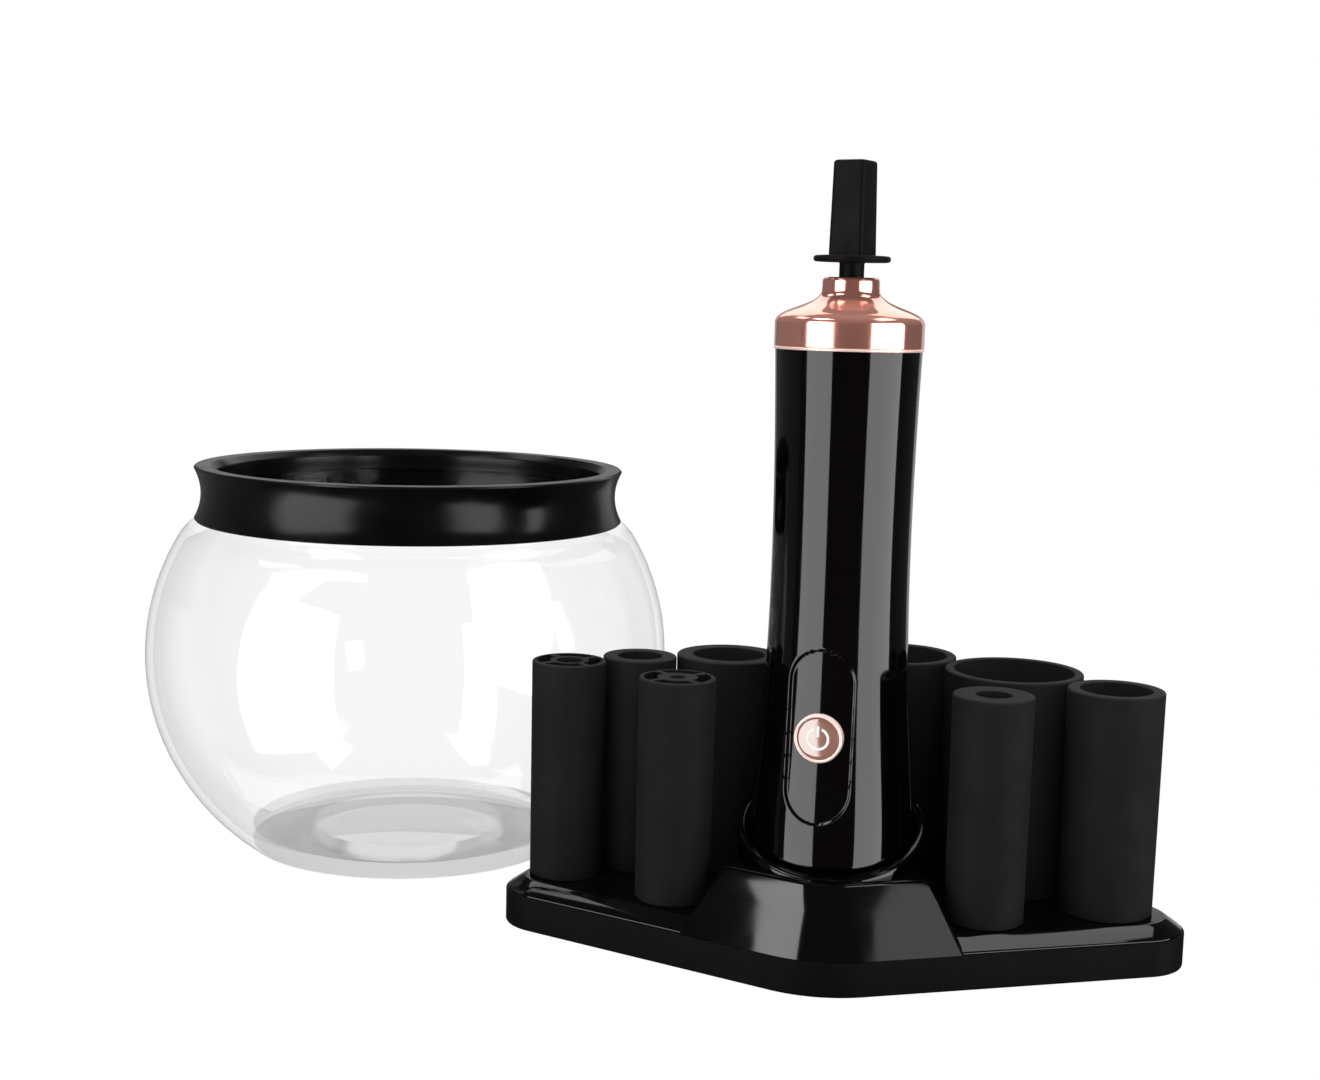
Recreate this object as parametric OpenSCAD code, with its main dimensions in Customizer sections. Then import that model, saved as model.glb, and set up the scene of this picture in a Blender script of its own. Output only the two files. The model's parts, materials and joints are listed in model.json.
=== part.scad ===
// Electric brush cleaner: splash bowl, collar stand with charging dock, spinner handle
// Origin: table plane under the dock axis. +X right, +Y back, +Z up. Millimetres.

/* [Stand] */
// Height of the stand's matte tub, up to the seam
tub_top_z = 9.5; // [8.5:0.5:11]
// Height of the stand's flat top
deck_z = 13; // [12.5:0.5:15]
// Width of the sloping edge round the flat top
chamfer_w = 5; // [3:0.5:6]
// Side of the square pegs that hold the collars
peg_w = 9.4; // [8.8:0.1:9.6]
// Height of the pegs above the flat top
peg_h = 16; // [10:1:22]

/* [Dock] */
// Height of the dock's floor, where the handle stands
seat_z = 24.5; // [23:0.5:26]
// Outer radius of the dock's cup
cup_r = 25; // [24:0.5:25]
// Height of the cup's slanted rim over the dock's axis
rim_z = 33.3; // [32:0.1:36]
// Slant of the cup's rim from front to back, in degrees
rim_slant = 19.3; // [10:0.1:25]

/* [Handle] */
// Height of the shell's top edge
shell_top_z = 158; // [156:1:160]
// Wall of the handle's shell
shell_wall = 2; // [1.6:0.1:2.4]
// Turn of the button away from straight ahead, in degrees
handle_turn = -9; // [-20:1:20]
// Height of the power button's centre
button_z = 60; // [55:0.5:62]
// Height of the stadium-shaped recess round the button
recess_h = 44.6; // [40:0.2:46]
// Width of the recess
recess_w = 17; // [15:0.5:19]

/* [Collars] */
// Height of every rubber collar
collar_h = 59.2; // [50:0.2:70]
// Depth of the brush bores
bore_depth = 32; // [20:1:32]
// Depth of the square sockets underneath
socket_depth = 24; // [20:1:24]
// Side of the square sockets
socket_w = 9.8; // [9.7:0.1:10]

/* [Spindle adapter] */
// Height of the adapter's top
spindle_top_z = 206; // [200:1:210]
// Side of the square peg at its foot
spindle_w = 9.6; // [9:0.1:9.6]
// Side of the square peg at its top
spindle_tip_w = 8.8; // [8:0.1:9.4]
// Turn of the square peg about the spindle, in degrees
spindle_turn = -22; // [-45:1:45]

/* [Bowl] */
// Largest radius of the bowl
bowl_r = 80; // [78:0.5:82]
// Wall of the bowl
bowl_wall = 2.4; // [2:0.1:3]
// Radius of the bowl's neck inside the ring
neck_r = 60.5; // [60:0.1:60.5]
// Height of the splash ring's top edge
ring_top_z = 116.8; // [114:0.2:120]

/* [Hidden] */
$fn = 64;
eps = 0.01;

// Round corners of the stand's outline: x, y, radius
CORNERS = [[0, -12.3, 30], [79, 3.2, 14], [49.5, 49, 12], [-49.5, 49, 12], [-74.6, 1.4, 13.5]];
// Collars: x, y, outer radius, bore radius, and whether the wall is webbed
COLLARS = [
    [-72.5, 4.2, 9.95, 3.6, true],
    [-55, 16, 10, 6.1, false],
    [-40.7, -10.6, 10, 2, true],
    [-31.3, 24.8, 14.3, 10, false],
    [15.2, 39, 16.1, 13.6, false],
    [46.9, 23.4, 18.4, 16.2, false],
    [40.7, -10.6, 10.3, 4.6, false],
    [72.5, 4.8, 12.4, 9.3, false]
];
FEET = [[0, 0], [76, 3], [48, 47], [-48, 47], [-73, 2]];
SCREWS = [[0, -33], [60, 4], [36, 50], [-36, 50], [-58, 3]];
POSTS = [[5, -9], [-5, -9], [5, 34], [-5, 34]];

tub_z = 0.4;
foot_h = 1.6;
tub_wall = 2.2;
tub_floor = 2;
board_z = 4;
board_t = 1.6;
block_z = board_z + board_t;
foot_r = 6;
pin_x = 4;
pin_r = 1;
pin_flange_z = seat_z - 5.8;

bowl_x = -137.4;
bowl_y = 72.9;
bowl_mid_z = 59;
bowl_up = 75;
bowl_down = 74.5;
shoulder_z = 97.5;
ring_z = 100.2;
shelf_z = 110.2;

board_y = -9.5;
face_y = -19.9;
lip_y = -18.2;
motor_z = 112;
motor_top_z = 142;
motor_r = 11.8;
shaft_r = 1;
drive_r = 4.4;
drive_top_z = 174.5;
drive_hex = 5.1;
skirt_r = 16.6;

// ---- helpers ----

// Point at t on the cubic curve through p[0] and p[3]
function curve(p, t) = pow(1 - t, 3) * p[0] + 3 * t * pow(1 - t, 2) * p[1]
    + 3 * t * t * (1 - t) * p[2] + pow(t, 3) * p[3];

// Side line of the handle: radius, height
WAIST = [[21.4, 27.5], [21.4, 51], [15.9, 67], [18.9, shell_top_z]];
// Shoulder of the top cap: radius, height
SHOULDER = [[19.2, 164.9], [19, 168.5], [9, 168.9], [7.5, 172.6]];

function waist(inset) = [for (t = [0:0.05:1]) curve(WAIST, t) - [inset, 0]];

module tube(r_out, r_in, z0, z1) {
    difference() {
        translate([0, 0, z0]) cylinder(r = r_out, h = z1 - z0);
        translate([0, 0, z0 - 1]) cylinder(r = r_in, h = z1 - z0 + 2);
    }
}

// Round bar along -Y from y0 back to y1, at height z
module bar_y(r, y0, y1, z) {
    translate([0, y1, z]) rotate([90, 0, 0]) cylinder(r = r, h = y1 - y0);
}

// One slab of the stand's outline, drawn in by inset0 at its foot and inset1 at its top
module slab(inset0, inset1, z0, z1) {
    hull() {
        for (c = CORNERS) {
            translate([c.x, c.y, z0])
                cylinder(r1 = c.z - inset0, r2 = c.z - inset1, h = z1 - z0, $fn = 64);
        }
    }
}

module in_handle() {
    rotate([0, 0, handle_turn]) children();
}

// Closed coil of round wire standing on z0
module coil(r, wire, turns, z0, z1) {
    steps = 14;
    sides = 6;
    n = turns * steps;
    pitch = (z1 - z0 - 2 * wire) / n;
    points = [for (i = [0:n]) for (k = [0:sides - 1])
        let (a = i * 360 / steps, b = k * 360 / sides, q = r + wire * cos(b))
            [q * cos(a), q * sin(a), z0 + wire + i * pitch + wire * sin(b)]];
    walls = [for (i = [0:n - 1]) for (k = [0:sides - 1])
        let (m = (k + 1) % sides)
            [i * sides + k, i * sides + m, (i + 1) * sides + m, (i + 1) * sides + k]];
    first = [for (k = [0:sides - 1]) sides - 1 - k];
    last = [for (k = [0:sides - 1]) n * sides + k];
    polyhedron(points, concat([first], walls, [last]), convexity = 8);
}

// ---- stand ----

module stand_tub() {
    color("#161616") difference() {
        union() {
            difference() {
                slab(0, 0, tub_z, tub_top_z);
                slab(tub_wall, tub_wall, tub_z + tub_floor, tub_top_z + 1);
            }
            for (s = SCREWS) {
                translate([s.x, s.y, tub_z + 1]) cylinder(r = 4.4, h = 6.1);
            }
            for (p = POSTS) {
                translate([p.x, p.y, tub_z + 1]) cylinder(r = 2, h = board_z - tub_z - 1);
            }
        }
        for (s = SCREWS) {
            translate([s.x, s.y, tub_z - 1]) cylinder(r = 3.1, h = 4.6);
            translate([s.x, s.y, tub_z]) cylinder(r = 1.5, h = 8);
        }
        for (f = FEET) {
            translate([f.x, f.y, 0]) cylinder(r = foot_r, h = foot_h);
        }
        translate([-4.8, 55, block_z - 0.1]) cube([9.6, 10, 3.4]);
    }
}

module stand_screws() {
    color("silver") for (s = SCREWS) {
        translate([s.x, s.y, 0]) {
            difference() {
                translate([0, 0, 2.4]) cylinder(r = 2.8, h = 1.6);
                translate([0, 0, 2.3]) cylinder(r = 1.2, h = 1, $fn = 6);
            }
            translate([0, 0, 4]) cylinder(r = 1.25, h = 6.4);
        }
    }
}

module stand_feet() {
    color("#202020") for (f = FEET) {
        translate([f.x, f.y, 0]) cylinder(r = foot_r, h = foot_h);
    }
}

// Raised front of the stand: it leans back from the seam to the dock's floor
module pedestal() {
    lean = seat_z + 0.1 - tub_top_z;
    hull() {
        translate([0, -12.3, tub_top_z]) cylinder(r1 = 30, r2 = 15, h = lean, $fn = 96);
        for (side = [-1, 1]) {
            translate([side * 34.6, -28.7, tub_top_z]) cylinder(r = 1.5, h = 0.1, $fn = 24);
            translate([side * 24, -7, tub_top_z]) cylinder(r = 1.5, h = 0.1, $fn = 24);
            translate([side * 25, -16.5, seat_z]) cylinder(r = 1.5, h = 0.1, $fn = 24);
            translate([side * 20, -7, seat_z]) cylinder(r = 1.5, h = 0.1, $fn = 24);
        }
    }
}

module stand_cover() {
    color("#0b0b0b") difference() {
        union() {
            difference() {
                slab(0, chamfer_w, tub_top_z, deck_z);
                slab(chamfer_w, chamfer_w, tub_top_z - 1, deck_z - 2);
            }
            pedestal();
            translate([0, 0, deck_z - 2]) cylinder(r = cup_r, h = 36, $fn = 128);
            for (c = COLLARS) {
                translate([c.x - peg_w / 2, c.y - peg_w / 2, deck_z - 1])
                    cube([peg_w, peg_w, peg_h + 1]);
            }
            for (s = SCREWS) {
                translate([s.x, s.y, 7.5]) cylinder(r = 3.6, h = 4.5);
            }
        }
        translate([0, 0, rim_z])
            rotate([rim_slant, 0, 0])
                translate([-cup_r - 5, -cup_r - 9, 0])
                    cube([2 * cup_r + 10, 2 * cup_r + 18, 40]);
        translate([0, 0, seat_z]) cylinder(r1 = 21.7, r2 = 24.2, h = 24, $fn = 128);
        translate([0, 0, tub_top_z - 1]) cylinder(r = 19, h = seat_z - 2 - tub_top_z + 1);
        in_handle() {
            for (side = [-1, 1]) {
                translate([side * pin_x, 0, seat_z - 3]) cylinder(r = 1.25, h = 4);
            }
        }
        for (s = SCREWS) {
            translate([s.x, s.y, 7]) cylinder(r = 1.25, h = 3.5);
        }
    }
}

module dock_board() {
    color("darkgreen") translate([-8, -13, board_z]) cube([16, 71, board_t]);
}

module usb_inlet() {
    color("silver") translate([0, 0, block_z]) difference() {
        translate([-4.5, 52, 0]) cube([9, 8.6, 3.2]);
        difference() {
            translate([-4.1, 54, 0.4]) cube([8.2, 8, 2.4]);
            translate([-3.2, 53, 1.25]) cube([6.4, 6, 0.7]);
        }
    }
}

module contact_block() {
    color("#303030") in_handle() difference() {
        translate([-8, -4.5, block_z]) cube([16, 9, seat_z - 2.1 - block_z]);
        for (side = [-1, 1]) {
            translate([side * pin_x, 0, block_z - 1]) cylinder(r = 1.6, h = pin_flange_z + 1.9 - block_z);
            translate([side * pin_x, 0, block_z]) cylinder(r = pin_r + 0.05, h = 20);
        }
    }
}

module contact_pin(side) {
    color("gold") in_handle() translate([side * pin_x, 0, 0]) {
        translate([0, 0, pin_flange_z]) cylinder(r = 1.5, h = 0.8);
        translate([0, 0, pin_flange_z]) cylinder(r = pin_r, h = seat_z - pin_flange_z);
    }
}

module contact_spring(side) {
    color("silver") in_handle() translate([side * pin_x, 0, 0])
        coil(1.15, 0.2, 9, block_z + 0.02, pin_flange_z - 0.02);
}

module contact_pin_left() { contact_pin(-1); }
module contact_pin_right() { contact_pin(1); }
module contact_spring_left() { contact_spring(-1); }
module contact_spring_right() { contact_spring(1); }

// ---- rubber collars ----

module collar(i) {
    c = COLLARS[i];
    hub_r = 5.3;
    tube_r = c.z - 1.2;
    web_depth = 24;
    top_z = deck_z + collar_h;
    color("#242424") translate([c.x, c.y, 0]) difference() {
        translate([0, 0, deck_z])
            cylinder(r1 = c.z * 0.985, r2 = c.z * 1.012, h = collar_h, $fn = 96);
        translate([0, 0, top_z - bore_depth]) cylinder(r = c[3], h = bore_depth + 1, $fn = 96);
        translate([-socket_w / 2, -socket_w / 2, deck_z - 1])
            cube([socket_w, socket_w, socket_depth + 1]);
        if (c[4]) {
            difference() {
                translate([0, 0, top_z - web_depth]) cylinder(r = tube_r, h = web_depth + 1);
                translate([0, 0, top_z - web_depth - 1]) cylinder(r = hub_r, h = web_depth + 3);
                for (a = [45, 135]) {
                    rotate([0, 0, a])
                        translate([-tube_r - 1, -0.9, top_z - web_depth - 1])
                            cube([2 * tube_r + 2, 1.8, web_depth + 3]);
                }
            }
        }
    }
}

module collar_1() { collar(0); }
module collar_2() { collar(1); }
module collar_3() { collar(2); }
module collar_4() { collar(3); }
module collar_5() { collar(4); }
module collar_6() { collar(5); }
module collar_7() { collar(6); }
module collar_8() { collar(7); }

// ---- handle casing ----

module stadium(width, height) {
    for (side = [-1, 1]) {
        translate([0, side * (height - width) / 2]) circle(d = width);
    }
    square([width, height - width], center = true);
}

module handle_shell() {
    foot = [for (a = [-90:15:0]) [20.2 + 1.2 * cos(a), 27.5 + 2.6 * sin(a)]];
    inside = [for (t = [0.95:-0.05:0.1]) curve(WAIST, t) - [shell_wall, 0]];
    color("#0a0a0a") in_handle() difference() {
        rotate_extrude($fn = 128) polygon(concat(
            [[18, 24.9]], foot, waist(0),
            [[skirt_r, shell_top_z], [skirt_r, 146]], inside, [[18, 31]]
        ));
        difference() {
            translate([0, -10, button_z + 0.15])
                rotate([90, 0, 0]) linear_extrude(15) stadium(recess_w, recess_h);
            rotate_extrude($fn = 128) polygon(concat([[0, 20]], waist(0.7), [[0, 160]]));
        }
        bar_y(6.3, -25, -10, button_z);
    }
}

module bottom_cap() {
    color("#181818") in_handle() difference() {
        union() {
            translate([0, 0, seat_z]) cylinder(r = 20.1, h = 0.4);
            translate([0, 0, seat_z]) cylinder(r = 17.9, h = 2.5);
            tube(17.9, 15.2, seat_z + 1, 31);
            for (side = [-1, 1]) {
                translate([side * 13.8, 0, seat_z + 1]) cylinder(r = 3.6, h = 5.5);
            }
        }
        tube(19, 16.7, 27.3, 28.7);
        for (side = [-1, 1]) {
            translate([side * 13.8, 0, seat_z - 1]) cylinder(r = 2.5, h = 3.1);
            translate([side * 13.8, 0, seat_z]) cylinder(r = 1.2, h = 8);
            translate([side * pin_x, 0, seat_z - 1]) cylinder(r = 2.4, h = 5);
        }
    }
}

module base_seal() {
    color("#333333") rotate_extrude($fn = 96) translate([17.35, 28]) circle(r = 0.6, $fn = 32);
}

module bottom_screws() {
    color("silver") in_handle() for (side = [-1, 1]) {
        translate([side * 13.8, 0, 0]) {
            difference() {
                translate([0, 0, 25]) cylinder(r = 2.3, h = 1.6);
                translate([0, 0, 24.9]) cylinder(r = 1, h = 1, $fn = 6);
            }
            translate([0, 0, 26.6]) cylinder(r = 1.2, h = 9.6);
        }
    }
}

module charge_pad(side) {
    color("gold") in_handle() translate([side * pin_x, 0, seat_z]) cylinder(r = 2.4, h = 3.1);
}

module charge_pad_left() { charge_pad(-1); }
module charge_pad_right() { charge_pad(1); }

module top_cap() {
    shoulder = [for (t = [0:0.1:1]) curve(SHOULDER, t)];
    color("#c98f80") rotate_extrude($fn = 128) polygon(concat(
        [[skirt_r, 149], [skirt_r, 158.7], [19.2, 158.7]], shoulder,
        [[7.35, 175.4], [6.8, 176.3], [6, 176.5], [4, 176.5], [4, 175.6], [5, 175.6]],
        [[5, 169.8], [7, 169.8], [7, 165.6], [15.6, 162], [15.6, 149]]
    ));
}

module trim_ring() {
    color("#e6c4ba") tube(19.3, skirt_r + 0.02, shell_top_z, 158.7);
}

module shaft_seal() {
    color("#2a2a2a") rotate_extrude() polygon([
        [drive_r + 0.04, 165.8], [drive_r + 0.04, 166.6], [5.2, 167.4], [5.2, 169.8],
        [7, 169.8], [7, 165.8]
    ]);
}

// ---- handle electronics ----

module chassis() {
    color("#4a4a4a") in_handle() difference() {
        union() {
            translate([0, 0, 31]) cylinder(r = 17.5, h = 3);
            for (side = [-1, 1]) {
                translate([side * 13.8, 0, 33]) cylinder(r = 3.2, h = 5);
            }
            translate([-5.5, 12.8, 33]) cube([11, 1.6, motor_top_z + 2.5 - 33]);
            translate([0, 0, motor_top_z]) cylinder(r = 15.2, h = 2.5);
        }
        for (side = [-1, 1]) {
            translate([side * 13.8, 0, 30]) cylinder(r = 1.2, h = 6.2);
            translate([side * 8, 0, motor_top_z - 1]) cylinder(r = 1, h = 5);
        }
        translate([0, 0, motor_top_z - 1]) cylinder(r = 3.1, h = 5);
    }
}

module battery_cell() {
    color("steelblue") in_handle() translate([0, 3.4, 35]) {
        cylinder(r = 9.15, h = 64);
        translate([0, 0, 63.9]) cylinder(r = 4, h = 1.1);
    }
}

module battery_tabs() {
    color("lightgray") in_handle() {
        translate([-3, board_y + 1.2, 34.4]) cube([6, 15, 0.6]);
        translate([-3, board_y + 1.2, 100]) cube([6, 15, 0.6]);
    }
}

module main_board() {
    color("darkgreen") in_handle() translate([-10, board_y, 34.2]) cube([20, 1.2, 69.8]);
}

module tact_switch() {
    color("#505050") in_handle() difference() {
        translate([-3, -12.4, button_z - 3]) cube([6, 2.9, 6]);
        bar_y(1.5, -13, -10.8, button_z);
    }
}

module switch_plunger() {
    color("white") in_handle() bar_y(1.4, -12.9, -11.6, button_z);
}

// Standard power mark: an open ring and a bar
module icon_shape() {
    difference() {
        circle(r = 3);
        circle(r = 2.3);
        translate([-0.95, 1]) square([1.9, 3]);
    }
    translate([-0.35, 0.4]) square([0.7, 3]);
}

module icon_solid() {
    translate([0, face_y + 0.4, button_z]) rotate([90, 0, 0]) linear_extrude(0.4) icon_shape();
}

module power_icon() {
    color("white") in_handle() icon_solid();
}

module button_cap() {
    color("#b9806f") in_handle() difference() {
        union() {
            bar_y(5.35, face_y, lip_y + 0.1, button_z);
            bar_y(5.85, lip_y + 0.1, -17.4, button_z);
            bar_y(1.5, -17.5, -12.9, button_z);
        }
        translate([0, -0.2, 0]) icon_solid();
        icon_solid();
    }
}

module button_bezel() {
    color("#f0d6cd") in_handle() difference() {
        union() {
            bar_y(6.3, -20.1, -14.3, button_z);
            bar_y(7.3, -15.3, -14.3, button_z);
        }
        bar_y(5.45, -21, -13, button_z);
        bar_y(6, lip_y, -13, button_z);
    }
}

// ---- motor ----

module motor_can() {
    color("gainsboro") in_handle() difference() {
        union() {
            translate([0, 0, motor_z]) cylinder(r = motor_r, h = motor_top_z - motor_z);
            translate([0, 0, motor_top_z]) cylinder(r = 3, h = 2);
        }
        translate([0, 0, motor_z - 1]) cylinder(r = 10.9, h = motor_top_z - motor_z - 0.2);
        cylinder(r = 2.2, h = 150);
        for (side = [-1, 1]) {
            translate([side * 8, 0, motor_top_z - 2]) cylinder(r = 1, h = 3);
        }
    }
}

module motor_magnets() {
    color("#3c3c3c") for (turn = [30, 210]) {
        rotate([0, 0, turn]) translate([0, 0, 118])
            rotate_extrude(angle = 120) translate([9.4, 0]) square([1.48, 18]);
    }
}

module motor_end_bell() {
    color("#f2f2f2") difference() {
        union() {
            translate([0, 0, 108.5]) cylinder(r = motor_r, h = 3.5);
            translate([0, 0, 111]) cylinder(r = 10.88, h = 2);
        }
        translate([0, 0, 109]) cylinder(r = 2.2, h = 5);
    }
}

module motor_bush_top() {
    color("#b08d57") tube(2.2, shaft_r + 0.03, 140.8, 144);
}

module motor_bush_bottom() {
    color("#b08d57") tube(2.2, shaft_r + 0.03, 109, 112);
}

module motor_screws() {
    color("silver") in_handle() for (side = [-1, 1]) {
        translate([side * 8, 0, 0]) {
            difference() {
                translate([0, 0, 144.5]) cylinder(r = 1.9, h = 1.4);
                translate([0, 0, 145.1]) cylinder(r = 0.8, h = 1, $fn = 6);
            }
            translate([0, 0, 140.8]) cylinder(r = 1, h = 3.8);
        }
    }
}

module motor_leads() {
    color("firebrick") in_handle() for (side = [-1, 1]) {
        translate([side * 6, board_y + 0.6, 104]) cylinder(r = 0.55, h = 4.5);
    }
}

module motor_shaft() {
    color("silver") translate([0, 0, 109.5]) cylinder(r = shaft_r, h = 46.5);
}

module motor_armature() {
    color("#8c5a3c") difference() {
        translate([0, 0, 120]) cylinder(r = 8.9, h = 14);
        for (turn = [0, 120, 240]) {
            rotate([0, 0, turn]) translate([3.6, -0.9, 119]) cube([6, 1.8, 16]);
        }
        translate([0, 0, 119]) cylinder(r = shaft_r, h = 16);
    }
}

module motor_commutator() {
    color("#b87333") tube(3, shaft_r, 113.5, 118);
}

module hex_bar(flats, z0, z1) {
    translate([0, 0, z0]) cylinder(r = flats / sqrt(3), h = z1 - z0, $fn = 6);
}

module drive_socket() {
    color("dimgray") difference() {
        translate([0, 0, 147]) cylinder(r = drive_r, h = drive_top_z - 147);
        translate([0, 0, 146]) cylinder(r = shaft_r, h = 10);
        hex_bar(drive_hex, 160, drive_top_z + 1);
    }
}

module spindle_adapter() {
    color("#1c1c1c") {
        hex_bar(drive_hex - 0.1, 162, drive_top_z + eps);
        translate([0, 0, drive_top_z]) cylinder(r = 3.2, h = 6.4);
        rotate_extrude($fn = 96) {
            translate([0, 180.4]) square([9.1, 1.6]);
            translate([9.1, 181.2]) circle(r = 0.8, $fn = 32);
        }
        rotate([0, 0, spindle_turn]) hull() {
            for (x = [-1, 1]) {
                for (y = [-1, 1]) {
                    foot = spindle_w / 2 - 0.8;
                    tip = spindle_tip_w / 2 - 0.8;
                    translate([x * foot, y * foot, 182 - eps]) cylinder(r = 0.8, h = 0.5, $fn = 32);
                    translate([x * tip, y * tip, spindle_top_z - 0.8]) sphere(r = 0.8, $fn = 32);
                }
            }
        }
    }
}

// ---- bowl ----

// Side line of the bowl's body, drawn in by the wall
function bowl_side(inset, down, up) = [for (a = [down:6:up])
    [(bowl_r - inset) * cos(a), bowl_mid_z + ((a < 0 ? bowl_down : bowl_up) - inset) * sin(a)]];

module bowl() {
    inner_neck = neck_r - bowl_wall;
    top = shelf_z - 0.2;
    color("#e8eef0", 0.35) translate([bowl_x, bowl_y, 0]) rotate_extrude($fn = 160) polygon(concat(
        [[0, 3.4], [24, 2.2], [32, 0], [48.4, 0]],
        bowl_side(0, -52, 30),
        [[66.5, 98.2], [64.5, 99.4], [62, 99.9], [neck_r, 99.9], [neck_r, top - 0.6]],
        [[neck_r - 0.6, top], [inner_neck + 0.6, top], [inner_neck, top - 0.6]],
        [[inner_neck, 98.6], [63, 97]],
        [for (p = [28:-6:-47]) [(bowl_r - bowl_wall) * cos(p),
            bowl_mid_z + ((p < 0 ? bowl_down : bowl_up) - bowl_wall) * sin(p)]],
        [[49, 4], [44, 3.4], [30, 4.4], [0, 7.4]]
    ));
}

module splash_ring() {
    waist_r = 63.4;
    mid_z = (ring_z + ring_top_z) / 2;
    reach = (ring_top_z - ring_z) / 2 - 0.6;
    side = [for (u = [-1:0.2:1]) [waist_r + 2 * u * u, mid_z + reach * u]];
    color("#0a0a0a") translate([bowl_x, bowl_y, 0]) rotate_extrude($fn = 160) polygon(concat(
        [[neck_r + 0.3, ring_z], [64.8, ring_z]], side,
        [[64.8, ring_top_z], [60.6, ring_top_z], [58.8, ring_top_z - 1.4], [58.5, shelf_z]],
        [[neck_r + 0.3, shelf_z]]
    ));
}

stand_tub();
stand_cover();
stand_feet();
stand_screws();
dock_board();
usb_inlet();
contact_block();
contact_pin_left();
contact_pin_right();
contact_spring_left();
contact_spring_right();
collar_1();
collar_2();
collar_3();
collar_4();
collar_5();
collar_6();
collar_7();
collar_8();
handle_shell();
bottom_cap();
base_seal();
bottom_screws();
charge_pad_left();
charge_pad_right();
chassis();
battery_cell();
battery_tabs();
main_board();
tact_switch();
switch_plunger();
button_cap();
power_icon();
button_bezel();
motor_can();
motor_magnets();
motor_end_bell();
motor_bush_top();
motor_bush_bottom();
motor_screws();
motor_leads();
shaft_seal();
top_cap();
trim_ring();
motor_shaft();
motor_armature();
motor_commutator();
drive_socket();
spindle_adapter();
bowl();
splash_ring();
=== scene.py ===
import json
import math

import bmesh
import bpy
from mathutils import Matrix, Vector


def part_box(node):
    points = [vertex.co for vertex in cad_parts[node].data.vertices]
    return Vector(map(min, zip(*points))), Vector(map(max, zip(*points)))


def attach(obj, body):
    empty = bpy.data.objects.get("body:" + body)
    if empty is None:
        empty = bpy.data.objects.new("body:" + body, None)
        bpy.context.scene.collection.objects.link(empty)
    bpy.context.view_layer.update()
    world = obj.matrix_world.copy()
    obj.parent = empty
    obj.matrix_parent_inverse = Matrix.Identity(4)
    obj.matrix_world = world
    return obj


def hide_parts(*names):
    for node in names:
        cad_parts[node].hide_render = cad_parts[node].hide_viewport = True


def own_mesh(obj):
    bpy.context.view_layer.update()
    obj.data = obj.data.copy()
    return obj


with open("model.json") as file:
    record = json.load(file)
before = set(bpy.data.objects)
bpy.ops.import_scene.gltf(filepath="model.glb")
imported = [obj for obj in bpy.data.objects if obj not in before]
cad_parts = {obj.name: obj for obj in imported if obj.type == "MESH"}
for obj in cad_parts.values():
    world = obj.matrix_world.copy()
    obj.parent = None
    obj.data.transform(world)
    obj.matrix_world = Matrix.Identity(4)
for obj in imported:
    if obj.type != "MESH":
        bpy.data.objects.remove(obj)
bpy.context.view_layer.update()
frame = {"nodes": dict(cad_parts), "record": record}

MM = 0.001

# ---------------------------------------------------------------- sizes, in millimetres

# Stand. Its outline is a row of round corners: x, y, radius, counter-clockwise from the front
CORNERS = [(0, -12.3, 30), (79, 3.2, 14), (49.5, 49, 12), (-49.5, 49, 12), (-74.6, 1.4, 13.5)]
FEET = [(0, 0), (76, 3), (48, 47), (-48, 47), (-73, 2)]
SCREWS = [(0, -33), (60, 4), (36, 50), (-36, 50), (-58, 3)]
FOOT_H = 1.6
FOOT_R = 6.0
BOSS_R = 4.4
SCREW_HEAD_R = 3.1
SCREW_R = 1.5
INLET_HALF_W = 4.8
INLET_LOW = 5.5
INLET_HIGH = 8.9
TUB_WALL = 2.2
SEAM_Z = 9.5
DECK_Z = 13.0
CHAMFER = 5.0
PEG_W = 9.4
PEG_H = 16.0

# Dock: seat, cup with a slanted rim, holes for the two contacts
SEAT_Z = 24.5
CUP_R = 25.0
CUP_FOOT_R = 21.7
CUP_FLARE = 2.5 / 24
RIM_Z = 33.3
RIM_RISE = math.tan(math.radians(19.3))
PIN_X = 4.0
PIN_HOLE_R = 1.25

# Collars: bore radius, and whether webs join a hub to the wall
BORES = [
    (3.6, True), (6.1, False), (2.0, True), (10.0, False),
    (13.6, False), (16.2, False), (4.6, False), (9.3, False),
]
BORE_DEPTH = 32.0
SOCKET_DEPTH = 24.0
SOCKET_W = 9.8
DRAFT = 0.985 / 1.012
WINDOW_DEPTH = 24.0
HUB_R = 5.3
WEB_W = 1.8
SLEEVE_WALL = 1.3

# Handle. The side line of its shell is a Bezier curve: radius, height
WAIST = [(21.4, 27.5), (21.4, 51.0), (15.9, 67.0), (18.9, 158.0)]
SHELL_WALL = 2.0
SKIRT_R = 16.6
TURN = math.radians(-9)
BUTTON_Z = 60.0
BUTTON_HOLE_R = 6.3
RECESS_W = 17.0
RECESS_H = 44.6
RECESS_DEPTH = 0.7
RECESS_SOFT = 0.32
MARK_R = 3.0
MARK_INNER_R = 2.35
CAP_R = 19.2
CAP_NECK_R = 7.35
SHANK_R = 5 / math.sqrt(3)
FLANGE_R = 9.9
FLANGE_LOW = 180.4
FLANGE_HIGH = 182.0
SPINDLE_TURN = math.radians(-22)

# Bowl: half of an ellipsoid above its middle, and of a slightly flatter one below
BOWL_R = 80.0
BOWL_MID_Z = 59.0
BOWL_UP = 75.0
BOWL_DOWN = 74.5
BOWL_WALL = 2.4
BOWL_FLOOR_R = 48.4
NECK_R = 60.5
SHELF_Z = 110.2
RING_Z = 100.2
RING_R = 64.86
RING_WAIST = 63.36

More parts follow.
